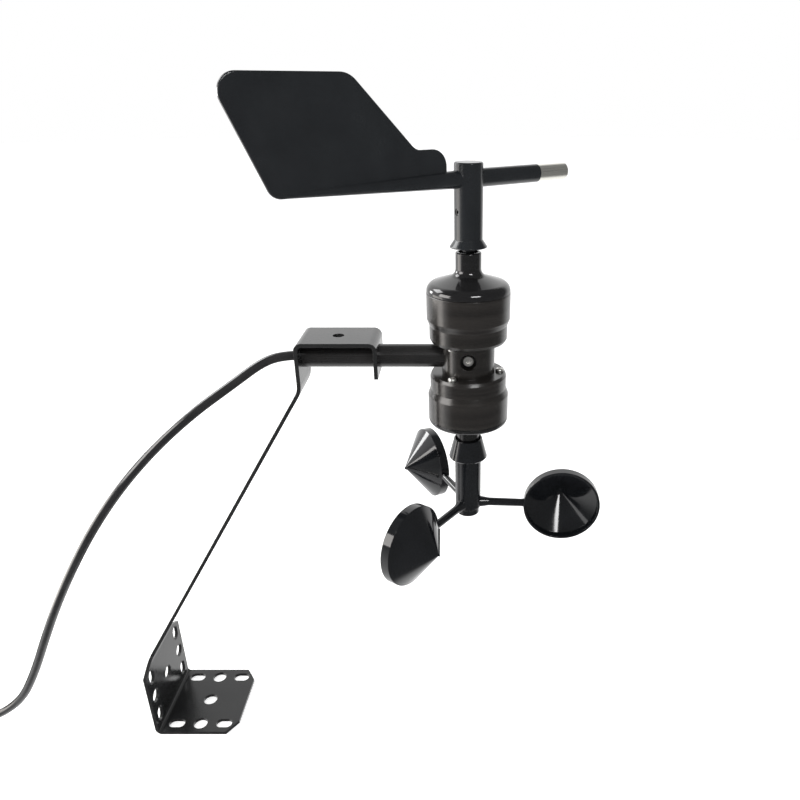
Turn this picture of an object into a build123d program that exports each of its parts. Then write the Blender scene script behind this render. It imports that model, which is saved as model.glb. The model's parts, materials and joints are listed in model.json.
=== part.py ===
from build123d import *
import os
from math import cos, degrees, hypot, pi, radians, sin, tan

# Wind sensor: vane above, three-cup rotor below, on an arm tube and a folded sheet bracket.
# Millimetres, +Z up. The origin is the centre of the foot's hole pattern, on its underside.
# +X runs from the foot to the sensor, +Y runs to the rear.

# ------------------------------------------------------------------ bracket
SHEET = 2.0
LEG = 50.0                  # length of each slotted leg
LEG_WIDTH = 54.0
STRIP_WIDTH = 27.7
PATTERN_SETBACK = 26.0      # hole pattern centre to the outside of the corner
SLOT_LENGTH = 10.0
SLOT_WIDTH = 6.5
SLOT_PITCH_ALONG = 30.0
SLOT_PITCH_ACROSS = 40.0
HOLE_RADIUS = 4.25
SHOULDER_LOW = 45.0         # height where the upright leg starts to narrow
SHOULDER_HIGH = 52.0
CORNER_CUT_ALONG = 6.0
CORNER_CUT_ACROSS = 9.0
KNEE_Z = 228.0              # where the diagonal meets the saddle's long ear
SADDLE_LENGTH = 41.8
SADDLE_TOP = 253.5
EAR_DROP = 19.0
SADDLE_HOLE_RADIUS = 3.0
FOLD_RADII = [4, 8, 10, 4, 4]   # outer radius of each fold, from the foot to the short ear

# ------------------------------------------------------------------ sensor body
AXIS_X = 170.5              # the sensor's vertical axis
MID_Z = 242.7               # the arm tube's axis, and the mirror plane of the two housings
SADDLE_X = AXIS_X - 87.7    # outer face of the long ear
TUBE_RADIUS = 6.0
TUBE_WALL = 1.5
BLOCK_RADIUS = 13.75
FLANGE_IN = 8.75            # heights counted from the mirror plane
FLANGE_OUT = 17.2
SHOULDER_END = 20.5
SEAM = 33.8
NECK_END = 53.6
FLANGE_RADIUS = 20.0
HOUSING_RADIUS = 21.25
HOUSING_BORE = 18.6
REGISTER_RADIUS = 13.0
NECK_RADIUS = 6.45
SPIGOT_RADIUS = 6.0
FLANGE_SCREW_CIRCLE = 16.4

# ------------------------------------------------------------------ shafts and bearings
SHAFT_RADIUS = 2.5
BEARING_RADIUS = 5.0
BEARING_WIDTH = 4.0
BALL_CIRCLE = 3.75
BALL_RADIUS = 0.79
BALL_COUNT = 8
BALL_PLAY = 0.05
BALL_LAND = 0.6             # each ring's land stands this far off the ball circle
INNER_BEARING = 33.3        # start of the bearing nearer the mirror plane
OUTER_BEARING = 47.8
SHAFT_EDGE = 0.3
GROOVE_RADIUS = 2.1
CLIP_RADIUS = 3.6
SPACER_RADIUS = 3.1
MAGNET_RADIUS = 3.0
HOLDER_RADIUS = 4.0
GRUB_RADIUS = 1.5
GRUB_SOCKET = (0.85, 1.8)   # radius and depth
FIT = 0.02                  # radial clearance of parts that fit in each other

# ------------------------------------------------------------------ screws
# each: head radius, head height, shank radius, shank length, socket radius
LOCK_SCREW = (2.8, 2.6, 1.45, 4.6, 1.5)
FLANGE_SCREW = (2.15, 1.7, 1.2, 12.0, 0.85)
BOARD_SCREW = (2.0, 1.4, 1.2, 1.6, 0.8)
SOCKET_DEPTH = 0.6          # as a share of the head's height
CLEAR_HOLE = 1.45
TAPPED_HOLE = 1.25

# ------------------------------------------------------------------ vane
VANE_YAW = 35.3             # nose direction, degrees from +X towards +Y
VANE_Z = 330.3
VANE_HUB_RADIUS = 6.95
VANE_HUB_TOP = 337.7
VANE_SKIRT_RIM = 298.6
VANE_SKIRT_RADIUS = 9.15
VANE_ARM_RADIUS = 4.25
NOSE_REACH = 41.3
WEIGHT_REACH = 60.0
WEIGHT_RADIUS = 4.0
WEIGHT_SHANK = 21.8         # length of the thinner shank inside the nose
WEIGHT_SHANK_RADIUS = 2.5
TAIL_REACH = 92.0
TAIL_END_RADIUS = 1.2
TAIL_DROP = 1.0             # the tail's tip is this much below the arm's axis
BLADE_THICKNESS = 2.0
BLADE_EDGE = 0.7            # rounding of the blade's rim
BLADE_OUTLINE = [           # reach towards the tail, height over the arm's axis
    (96.7, -2.2), (117.3, 44.5), (59.2, 44.5), (28.7, 13.7), (12.6, 13.7), (12.6, -2.2),
]
BLADE_CORNERS = [6, 7.5, 10, 6, 7.5, 1]

# ------------------------------------------------------------------ cup rotor
ARM_Z = 154.8
ROTOR_YAW = -3.6            # rest pose: direction of the right cup's arm
CUP_CIRCLE = 53.1
CUP_RADIUS = 21.5
CUP_ANGLES = {"right": ROTOR_YAW, "rear": ROTOR_YAW + 120, "front": ROTOR_YAW + 240}
CUP_RIM = -3.25             # along each cup's axis, from the arm's axis
CUP_LIP_END = 1.85
CUP_POINT = 17.35
CUP_WALL = 1.3
CUP_LIP = 0.6               # the rim band stands this much proud of the cone
CUP_EDGE = 0.3
CUP_TIP_RADIUS = 0.9
CUP_TIP_HEIGHT = 0.6
RIB_HEIGHT = 1.2
RIB_THICKNESS = 1.6
ROTOR_HUB_RADIUS = 7.2
ROTOR_HUB_END = 147.8
ARM_ROOT = [(1.0, 7.5, 9.0), (7.0, 6.2, 6.4), (12.0, 4.7, 4.4)]     # reach, height, width
ARM_NECK = (CUP_CIRCLE - 23, 4.5, 4.2)
ARM_TIP = (CUP_CIRCLE - 12, 8.0, 4.6)

# ------------------------------------------------------------------ lead
LEAD_RADIUS = 2.5
BEND_SHARE = 0.45           # an arc's tangent length, as a share of the shorter run beside it
CORE_RADIUS = 0.65
CORE_BEND = 6.0
CORE_COUNT = 4
LEAD_ROUTE = [
    (SADDLE_X, 0.0, MID_Z),
    (75.2, 0.0, MID_Z),
    (63.6, -1.3, 239.8),
    (48.0, -6.9, 229.3),
    (28.7, -15.0, 217.0),
    (8.6, -22.5, 200.6),
    (-11.8, -28.0, 179.4),
    (-30.6, -30.6, 155.0),
    (-47.8, -31.0, 128.6),
    (-63.6, -29.6, 102.0),
    (-78.0, -27.3, 75.0),
    (-92.0, -24.3, 48.2),
    (-108.0, -21.6, 23.0),
    (-131.0, -19.9, 6.5),
    (-156.0, -19.3, 2.6),
    (-181.0, -19.2, 2.5),
]

# the coil: three layers of turns, the top one without its innermost turn
COIL_CENTRE = (-193.0, 16.0)
COIL_INNER = 17.4
COIL_STEP = 24.6            # inner radius of the top layer
COIL_OUTER = 37.6
COIL_BASE = 0.8             # the coil lies on its tie
COIL_SHELF = 10.9           # top of the middle layer
COIL_TOP = 16.0
COIL_ROUND = 2.4
TIE_THICKNESS = 0.8
TIE_WIDTH = 8.0
TIE_TURN = 200.0

VERTICAL = Axis((AXIS_X, 0, 0), (0, 0, 1))
COIL_AXIS = Axis((*COIL_CENTRE, 0), (0, 0, 1))


def save(piece, name):
    """Label one finished piece and write it as the node of that name."""
    piece.part.label = name
    export_step(piece.part, f"parts/{name}.step")


def level(side, height):
    """World height of a height counted from the mirror plane: side is +1 above it, -1 below."""
    return MID_Z + side * height


def axis_plane():
    """Upright plane through the sensor's axis: x is the radius, y is the world height."""
    return Plane(origin=(AXIS_X, 0, 0), x_dir=(1, 0, 0), z_dir=(0, -1, 0))


def spin(outline, mode=Mode.ADD):
    """Revolve a half section, given as (radius, height) points, about the sensor's axis."""
    with BuildSketch(axis_plane()) as section:
        with BuildLine():
            Polyline(*outline, close=True)
        make_face()
    revolve(section.sketch, axis=VERTICAL, mode=mode)


def turned(name, outline, side=0):
    """One turned piece; with side given, its heights count from the mirror plane."""
    points = [(r, level(side, h)) for r, h in outline] if side else outline
    with BuildPart() as piece:
        spin(points)
    save(piece, name)


def ring(inner, outer, low, high):
    return [(inner, low), (outer, low), (outer, high), (inner, high)]


# ================================================================== bracket
def slot_pattern(plane):
    """Four corner slots along the leg and three round holes across it, cut through the sheet."""
    with BuildSketch(plane) as pattern:
        with GridLocations(SLOT_PITCH_ALONG, SLOT_PITCH_ACROSS, 2, 2):
            SlotOverall(SLOT_LENGTH, SLOT_WIDTH)
        with GridLocations(1, SLOT_PITCH_ACROSS / 2, 1, 3):
            Circle(HOLE_RADIUS)
    extrude(pattern.sketch, amount=3 * SHEET, both=True, mode=Mode.SUBTRACT)


def make_bracket():
    heel = -PATTERN_SETBACK
    saddle_end = SADDLE_X + SADDLE_LENGTH
    folds = [
        (heel + LEG, 0),
        (heel, 0),
        (heel, LEG + 1),
        (SADDLE_X, KNEE_Z),
        (SADDLE_X, SADDLE_TOP),
        (saddle_end, SADDLE_TOP),
        (saddle_end, SADDLE_TOP - EAR_DROP),
    ]
    with BuildPart() as bracket:
        with BuildSketch(Plane.XZ):
            with BuildLine():
                FilletPolyline(*folds, radius=FOLD_RADII)
                offset(amount=SHEET, side=Side.RIGHT)
            make_face()
        extrude(amount=LEG_WIDTH / 2, both=True)

        # the strip is narrower than the legs, with sloping shoulders
        half_leg, half_strip = LEG_WIDTH / 2, STRIP_WIDTH / 2
        beyond = half_leg + 1
        with BuildSketch(Plane.YZ.offset(heel - 1)):
            with BuildLine():
                Polyline(
                    (beyond, SHOULDER_LOW), (half_leg, SHOULDER_LOW), (half_strip, SHOULDER_HIGH),
                    (half_strip, SADDLE_TOP + 1), (beyond, SADDLE_TOP + 1), close=True,
                )
            make_face()
            mirror(about=Plane.YZ)
        extrude(amount=saddle_end - heel + 2, mode=Mode.SUBTRACT)

        # cut corners at the free end of the foot
        toe = heel + LEG
        with BuildSketch(Plane.XY):
            with BuildLine():
                Polyline(
                    (toe - CORNER_CUT_ALONG, half_leg), (toe, half_leg - CORNER_CUT_ACROSS),
                    (toe + 1, half_leg + 1), close=True,
                )
            make_face()
            mirror(about=Plane.XZ)
        extrude(amount=SHEET, mode=Mode.SUBTRACT)

        slot_pattern(Plane.XY)
        slot_pattern(Plane(origin=(heel, 0, PATTERN_SETBACK), x_dir=(0, 0, 1), z_dir=(1, 0, 0)))

        with BuildSketch(Plane.YZ.offset(SADDLE_X - 1)):
            with Locations((0, MID_Z)):
                Circle(TUBE_RADIUS + FIT)
        extrude(amount=SADDLE_LENGTH + 2, mode=Mode.SUBTRACT)
        with BuildSketch(Plane.XY.offset(SADDLE_TOP - 2 * SHEET)):
            with Locations((SADDLE_X + SADDLE_LENGTH / 2, 0)):
                Circle(SADDLE_HOLE_RADIUS)
        extrude(amount=3 * SHEET, mode=Mode.SUBTRACT)
    save(bracket, "mounting_bracket")


# ================================================================== arm
TUBE_END = AXIS_X + 7.0
TUBE_BORE = TUBE_RADIUS - TUBE_WALL
GROMMET_LENGTH = 9.0
WIRE_HOLE = 3.4
LOCK_SCREW_Z = MID_Z + 0.6
LOCK_HOLE_RADIUS = 1.5
LEAD_END_X = AXIS_X - 8.0   # where the lead's cores fan out, inside the tube


def rod(plane, radius, length, hole=0.0):
    """A round bar or tube that starts at a plane."""
    with BuildSketch(plane) as section:
        Circle(radius)
        if hole:
            Circle(hole, mode=Mode.SUBTRACT)
    extrude(section.sketch, amount=length)


def drill(plane, radius, depth):
    """A round hole that starts at a plane."""
    with BuildSketch(plane) as section:
        Circle(radius)
    extrude(section.sketch, amount=depth, mode=Mode.SUBTRACT)


def hexagon_socket(plane, radius, depth):
    """A hexagon socket sunk below a plane."""
    with BuildSketch(plane) as section:
        RegularPolygon(radius, 6)
    extrude(section.sketch, amount=-depth, mode=Mode.SUBTRACT)


def along_x(x):
    return Plane(origin=(x, 0, MID_Z), x_dir=(0, 1, 0), z_dir=(1, 0, 0))


def make_arm():
    with BuildPart() as tube:
        rod(along_x(SADDLE_X), TUBE_RADIUS, TUBE_END - SADDLE_X, TUBE_BORE)
        with BuildSketch(Plane.XY.offset(MID_Z)):
            with Locations((AXIS_X, 0)):
                Circle(WIRE_HOLE)
        extrude(amount=TUBE_RADIUS + 1, both=True, mode=Mode.SUBTRACT)
        with BuildSketch(Plane.XZ):
            with Locations((AXIS_X, LOCK_SCREW_Z)):
                Circle(LOCK_HOLE_RADIUS)
        extrude(amount=TUBE_RADIUS + 1, mode=Mode.SUBTRACT)
    save(tube, "arm_tube")

    with BuildPart() as grommet:
        rod(along_x(SADDLE_X), TUBE_BORE, GROMMET_LENGTH, LEAD_RADIUS)
    save(grommet, "lead_grommet")

    with BuildPart() as inner_lead:
        rod(along_x(SADDLE_X), LEAD_RADIUS, LEAD_END_X - SADDLE_X)
    save(inner_lead, "lead_inside_arm")


# ================================================================== centre body
COUNTERBORE_RADIUS = 4.2
COUNTERBORE_FLOOR = 8.8     # distance of the screw seat from the axis
LOCK_HOLE_DEPTH = 9.75
FLANGE_NECK_RADIUS = 19.2   # the flange is this wide at its inner face
FLANGE_BEVEL = 1.6
WIRE_BORE = 5.0
REGISTER_END = 20.0
SEAL_LOW = 17.9
SEAL_HIGH = 19.3
SEAL_FLOOR = 11.9


def make_centre_body():
    edge = [
        (WIRE_BORE, 0), (BLOCK_RADIUS, 0), (BLOCK_RADIUS, FLANGE_IN), (FLANGE_NECK_RADIUS, FLANGE_IN),
        (FLANGE_RADIUS, FLANGE_IN + FLANGE_BEVEL), (FLANGE_RADIUS, FLANGE_OUT), (REGISTER_RADIUS, FLANGE_OUT),
        (REGISTER_RADIUS, SEAL_LOW), (SEAL_FLOOR, SEAL_LOW), (SEAL_FLOOR, SEAL_HIGH),
        (REGISTER_RADIUS, SEAL_HIGH), (REGISTER_RADIUS, REGISTER_END), (WIRE_BORE, REGISTER_END),
    ]
    with BuildPart() as body:
        for side in (1, -1):
            spin([(r, level(side, h)) for r, h in edge])
        with BuildSketch(Plane.XY.offset(level(-1, FLANGE_OUT + 1))):
            with Locations((AXIS_X, 0)):
                with PolarLocations(FLANGE_SCREW_CIRCLE, 3):
                    Circle(CLEAR_HOLE)
        extrude(amount=2 * FLANGE_OUT + 2, mode=Mode.SUBTRACT)
        drill(along_x(AXIS_X - BLOCK_RADIUS - 1), TUBE_RADIUS + FIT, TUBE_END - AXIS_X + BLOCK_RADIUS + 1)
        front = Plane(origin=(AXIS_X, -BLOCK_RADIUS - 1, LOCK_SCREW_Z), x_dir=(1, 0, 0), z_dir=(0, 1, 0))
        drill(front, COUNTERBORE_RADIUS, BLOCK_RADIUS + 1 - COUNTERBORE_FLOOR)
        drill(front, LOCK_HOLE_RADIUS, LOCK_HOLE_DEPTH)
    save(body, "centre_body")

    seat = Plane(origin=(AXIS_X, -COUNTERBORE_FLOOR, LOCK_SCREW_Z), x_dir=(1, 0, 0), z_dir=(0, -1, 0))
    with BuildPart() as lock_screw:
        socket_screw(seat, *LOCK_SCREW)
    save(lock_screw, "arm_lock_screw")


def socket_screw(seat, head_radius, head_height, shank_radius, shank_length, socket):
    """A cylinder-head screw: the head stands on the seat plane, the shank goes below it."""
    rod(seat, head_radius, head_height)
    chamfer(crown(seat), length=EDGE)
    rod(seat, shank_radius, -shank_length)
    hexagon_socket(seat.offset(head_height), socket, SOCKET_DEPTH * head_height)


def crown(seat):
    """Edges of the face furthest along the seat plane's normal."""
    return faces().sort_by(Axis(seat.origin, seat.z_dir))[-1].edges()


# ================================================================== housings and caps
WEB_END = 20.2
CAP_REGISTER_START = 29.6
CAP_SEAL_LOW = 30.6
CAP_SEAL_HIGH = 32.5
CAP_SEAL_FLOOR = 17.2
BOSS_RADIUS = 7.5
BOSS_START = 32.6
BEARING_SEAT = BEARING_RADIUS + FIT
CAP_BORE = 4.1
CAP_RADIUS = HOUSING_RADIUS - 0.05
EDGE = 0.3                  # chamfer of a turned edge
NECK_EDGE = 0.5
CAP_INNER_RADIUS = 16.3
DOME_MIDDLE_RADIUS = 14.5


def make_housing(name, side):
    outline = [
        (REGISTER_RADIUS + FIT, FLANGE_OUT), (FLANGE_RADIUS, FLANGE_OUT), (HOUSING_RADIUS, SHOULDER_END),
        (HOUSING_RADIUS, SEAM - EDGE), (HOUSING_RADIUS - EDGE, SEAM), (HOUSING_BORE, SEAM),
        (HOUSING_BORE, WEB_END), (REGISTER_RADIUS + FIT, WEB_END),
    ]
    with BuildPart() as housing:
        spin([(r, level(side, h)) for r, h in outline])
        with BuildSketch(Plane.XY.offset(level(side, FLANGE_OUT - 1))):
            with Locations((AXIS_X, 0)):
                with PolarLocations(FLANGE_SCREW_CIRCLE, 3):
                    Circle(TAPPED_HOLE)
                with PolarLocations(STANDOFF_CIRCLE, 3, start_angle=60):
                    Circle(TAPPED_HOLE)
        extrude(amount=side * (WEB_END - FLANGE_OUT + 3), mode=Mode.SUBTRACT)
    save(housing, name)


def make_cap(name, side, shell, inside):
    """A cap: its outer line runs from the seam to the neck, its inner line back to the register."""
    with BuildPart() as cap:
        with BuildSketch(axis_plane()):
            with BuildLine():
                shell(side)
                Polyline(*[(r, level(side, h)) for r, h in inside])
            make_face()
        revolve(axis=VERTICAL)
        bore = [
            (0, BOSS_START - 1), (BEARING_SEAT, BOSS_START - 1),
            (BEARING_SEAT, INNER_BEARING + BEARING_WIDTH), (CAP_BORE, INNER_BEARING + BEARING_WIDTH),
            (CAP_BORE, OUTER_BEARING), (BEARING_SEAT, OUTER_BEARING), (BEARING_SEAT, NECK_END + 1),
            (0, NECK_END + 1),
        ]
        spin([(r, level(side, h)) for r, h in bore], Mode.SUBTRACT)
    save(cap, name)


def dome_line(side, round_start, round_radius, slope, blend, neck):
    """Outer line of a cap: wall, rounded shoulder, cone of the given slope, blend, neck."""
    tilt = radians(slope)
    centre_r = CAP_RADIUS - round_radius
    shoulder_r = centre_r + round_radius * sin(tilt)
    shoulder_h = round_start + round_radius * cos(tilt)
    blend_r = neck + blend * (1 - sin(tilt))
    blend_h = shoulder_h + (shoulder_r - blend_r) * tan(tilt)
    neck_h = blend_h + blend * cos(tilt)
    half = radians((90 - slope) / 2)
    middle_r = centre_r + round_radius * cos(half)
    middle_h = round_start + round_radius * sin(half)
    blend_mid_r = neck + blend * (1 - cos(half))
    blend_mid_h = neck_h - blend * sin(half)
    at = lambda r, h: (r, level(side, h))
    Polyline(at(CAP_RADIUS - EDGE, SEAM), at(CAP_RADIUS, SEAM + EDGE), at(CAP_RADIUS, round_start))
    ThreePointArc(at(CAP_RADIUS, round_start), at(middle_r, middle_h), at(shoulder_r, shoulder_h))
    Line(at(shoulder_r, shoulder_h), at(blend_r, blend_h))
    ThreePointArc(at(blend_r, blend_h), at(blend_mid_r, blend_mid_h), at(neck, neck_h))
    Polyline(
        at(neck, neck_h), at(neck, NECK_END - NECK_EDGE), at(neck - NECK_EDGE, NECK_END), at(0, NECK_END),
    )


def upper_shell(side):
    dome_line(side, round_start=34.5, round_radius=4.5, slope=18, blend=4.0, neck=NECK_RADIUS)


def lower_shell(side):
    dome_line(side, round_start=34.5, round_radius=2.5, slope=14, blend=4.0, neck=SPIGOT_RADIUS)


def cap_inside(dome_edge, dome_middle, dome_centre):
    """Inner line of a cap, from the axis at the neck's end back to the seam."""
    return [
        (0, NECK_END), (0, BOSS_START), (BOSS_RADIUS, BOSS_START), (BOSS_RADIUS, dome_centre),
        (DOME_MIDDLE_RADIUS, dome_middle), (CAP_INNER_RADIUS, dome_edge),
        (CAP_INNER_RADIUS, CAP_REGISTER_START),
        (HOUSING_BORE - FIT, CAP_REGISTER_START), (HOUSING_BORE - FIT, CAP_SEAL_LOW),
        (CAP_SEAL_FLOOR, CAP_SEAL_LOW), (CAP_SEAL_FLOOR, CAP_SEAL_HIGH),
        (HOUSING_BORE - FIT, CAP_SEAL_HIGH), (HOUSING_BORE - FIT, SEAM), (CAP_RADIUS - EDGE, SEAM),
    ]


def make_o_ring(name, side, radius, height, section):
    with BuildPart() as seal:
        with BuildSketch(axis_plane()):
            with Locations((radius, level(side, height))):
                Circle(section)
        revolve(axis=VERTICAL)
    save(seal, name)


def make_flange_screws(name, side):
    with BuildPart() as screws:
        for turn in (0, 120, 240):
            x = AXIS_X + FLANGE_SCREW_CIRCLE * cos(radians(turn))
            y = FLANGE_SCREW_CIRCLE * sin(radians(turn))
            seat = Plane(origin=(x, y, level(side, FLANGE_IN)), x_dir=(1, 0, 0), z_dir=(0, 0, -side))
            small_screw(seat, *FLANGE_SCREW)
    save(screws, name)


def small_screw(seat, head_radius, head_height, shank_radius, shank_length, socket):
    """A round-head screw with a hexagon socket, made by turning its half section."""
    profile = Plane(origin=seat.origin, x_dir=seat.x_dir, z_dir=seat.y_dir * -1)
    with BuildSketch(profile) as section:
        with BuildLine():
            Polyline(
                (0, -shank_length), (shank_radius, -shank_length), (shank_radius, 0), (head_radius, 0),
                (head_radius, 0.45 * head_height),
            )
            ThreePointArc(
                (head_radius, 0.45 * head_height), (0.8 * head_radius, 0.85 * head_height),
                (0.45 * head_radius, head_height),
            )
            Polyline((0.45 * head_radius, head_height), (0, head_height), (0, -shank_length))
        make_face()
    revolve(section.sketch, axis=Axis(seat.origin, seat.z_dir))
    hexagon_socket(seat.offset(head_height), socket, SOCKET_DEPTH * head_height)


# ================================================================== what is inside each housing
BOARD_LOW = 23.2
BOARD_HIGH = 24.8
BOARD_RADIUS = 17.6
STANDOFF_CIRCLE = 15.4
MAGNET_START = 27.5
MAGNET_END = 30.0
HOLDER_END = 32.4
STANDOFF_RADIUS = 2.0
STUD_RADIUS = 1.2
STUD_LENGTH = 2.4
CHIPS = [(0, 0, 5, 4), (-9, -5, 6, 5), (-8, 5, 4, 3)]       # place on the board, then size
CHIP_HEIGHT = 1.4
PLUG_SOCKET_X = 9.5
PLUG_SOCKET_HEIGHT = 4.5
PLUG_SOCKET_DEPTH = 3.2
WIRE_RADIUS = 0.6
WIRE_BEND = 4.0
WIRE_PITCH = 1.5
WIRE_LAYER = 1.1            # the two boards' wires leave the lead this far above and below its axis


def make_board(name, side):
    with BuildPart() as board:
        with BuildSketch(Plane.XY.offset(level(side, BOARD_LOW))):
            with Locations((AXIS_X, 0)):
                Circle(BOARD_RADIUS)
                with PolarLocations(STANDOFF_CIRCLE, 3, start_angle=60):
                    Circle(CLEAR_HOLE - 0.15, mode=Mode.SUBTRACT)
        extrude(amount=side * (BOARD_HIGH - BOARD_LOW))
    save(board, f"{name}_board")

    with BuildPart() as board_parts:
        on_board = Plane.XY.offset(level(side, BOARD_HIGH))
        with BuildSketch(on_board):
            for x, y, length, width in CHIPS:
                with Locations((AXIS_X + x, y)):
                    Rectangle(length, width)
        extrude(amount=side * CHIP_HEIGHT)
        with BuildSketch(on_board):
            with Locations((AXIS_X + PLUG_SOCKET_X, 0)):
                Rectangle(4.5, 10)
        extrude(amount=side * PLUG_SOCKET_HEIGHT)
        with BuildSketch(Plane.XY.offset(level(side, BOARD_HIGH + PLUG_SOCKET_HEIGHT))):
            with Locations((AXIS_X + PLUG_SOCKET_X, 0)):
                Rectangle(2.5, 8)
        extrude(amount=-side * PLUG_SOCKET_DEPTH, mode=Mode.SUBTRACT)
    save(board_parts, f"{name}_board_chips_and_socket")

    with BuildPart() as spacers:
        for length, radius in ((BOARD_LOW - WEB_END, STANDOFF_RADIUS), (-STUD_LENGTH, STUD_RADIUS)):
            with BuildSketch(Plane.XY.offset(level(side, WEB_END))):
                with Locations((AXIS_X, 0)):
                    with PolarLocations(STANDOFF_CIRCLE, 3, start_angle=60):
                        Circle(radius)
            extrude(amount=side * length)
    save(spacers, f"{name}_board_spacers")

    with BuildPart() as screws:
        for turn in (60, 180, 300):
            x = AXIS_X + STANDOFF_CIRCLE * cos(radians(turn))
            y = STANDOFF_CIRCLE * sin(radians(turn))
            seat = Plane(origin=(x, y, level(side, BOARD_HIGH)), x_dir=(1, 0, 0), z_dir=(0, 0, side))
            small_screw(seat, *BOARD_SCREW)
    save(screws, f"{name}_board_screws")


def make_wires(name, side):
    """Three cores from the end of the lead, up or down the centre bore to the board."""
    with BuildPart() as wires:
        for step in (-1, 0, 1):
            y = WIRE_PITCH * step
            rise_x = AXIS_X + WIRE_RADIUS * step
            start = (LEAD_END_X, y, level(side, WIRE_LAYER))
            turn = (rise_x, y, level(side, WIRE_LAYER))
            end = (rise_x, y, level(side, BOARD_LOW))
            with BuildLine():
                path = FilletPolyline(start, turn, end, radius=WIRE_BEND)
            with BuildSketch(Plane(origin=start, x_dir=(0, 1, 0), z_dir=(1, 0, 0))):
                Circle(WIRE_RADIUS)
            sweep(path=path)
    save(wires, f"{name}_wires")


def make_bearing(name, side, start):
    """A ball bearing in three nodes: outer ring, inner ring and balls."""
    width = BEARING_WIDTH
    middle = start + width / 2
    land_out, land_in = BALL_CIRCLE + BALL_LAND, BALL_CIRCLE - BALL_LAND
    race = BALL_RADIUS + BALL_PLAY
    for part, rim, land in (("outer_ring", BEARING_RADIUS, land_out), ("inner_ring", SHAFT_RADIUS, land_in)):
        with BuildPart() as race_ring:
            with BuildSketch(axis_plane()):
                with Locations(((rim + land) / 2, level(side, middle))):
                    Rectangle(abs(rim - land), width)
                with Locations((BALL_CIRCLE, level(side, middle))):
                    Circle(race, mode=Mode.SUBTRACT)
            revolve(axis=VERTICAL)
        save(race_ring, f"{name}_{part}")
    with BuildPart() as balls:
        for i in range(BALL_COUNT):
            turn = 2 * pi * i / BALL_COUNT
            x, y = AXIS_X + BALL_CIRCLE * cos(turn), BALL_CIRCLE * sin(turn)
            with Locations((x, y, level(side, middle))):
                Sphere(BALL_RADIUS)
    save(balls, f"{name}_balls")


def make_shaft(name, side, far_end):
    """The steel shaft, with the groove for its clip; far_end is its height inside the hub."""
    low, high = HOLDER_END + 0.2, INNER_BEARING - 0.1
    blunt = SHAFT_RADIUS - SHAFT_EDGE
    turned(f"{name}_shaft", [
        (0, MAGNET_END), (blunt, MAGNET_END), (SHAFT_RADIUS, MAGNET_END + SHAFT_EDGE), (SHAFT_RADIUS, low),
        (GROOVE_RADIUS, low), (GROOVE_RADIUS, high), (SHAFT_RADIUS, high),
        (SHAFT_RADIUS, far_end - SHAFT_EDGE), (blunt, far_end), (0, far_end),
    ], side)
    turned(f"{name}_shaft_clip", ring(GROOVE_RADIUS + FIT, CLIP_RADIUS, low + 0.05, high - 0.05), side)
    inner_end = INNER_BEARING + BEARING_WIDTH
    bore, pocket = SHAFT_RADIUS + FIT, MAGNET_RADIUS + FIT
    turned(f"{name}_bearing_spacer", ring(bore, SPACER_RADIUS, inner_end, OUTER_BEARING), side)
    turned(f"{name}_magnet_holder", [
        (pocket, MAGNET_START), (HOLDER_RADIUS, MAGNET_START), (HOLDER_RADIUS, HOLDER_END),
        (bore, HOLDER_END), (bore, MAGNET_END), (pocket, MAGNET_END),
    ], side)
    turned(f"{name}_magnet", ring(0, MAGNET_RADIUS, MAGNET_START, MAGNET_END), side)


# ================================================================== wind vane
HUB_BORE = SHAFT_RADIUS + FIT
HUB_BOSS = 3.0              # radius of the boss that sits on the outer bearing's inner ring
BOSS_GAP = 0.05
SKIRT_ROOT = 301.6
SKIRT_WALL = 0.7
VANE_GRUB_Z = 315.5
VANE_SHAFT_END = 332.0 - MID_Z


def vane_plane(reach=0.0, towards="nose"):
    """Plane across the vane's arm at a reach from the axis; its normal points along the arm."""
    return sideways(VANE_YAW + (180 if towards == "tail" else 0), reach, VANE_Z)


def blade_plane():
    """Upright plane of the blade: x is the reach towards the tail, y the height over the arm."""
    c, s = cos(radians(VANE_YAW)), sin(radians(VANE_YAW))
    return Plane(origin=(AXIS_X, 0, VANE_Z), x_dir=(-c, -s, 0), z_dir=(-s, c, 0))


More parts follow.
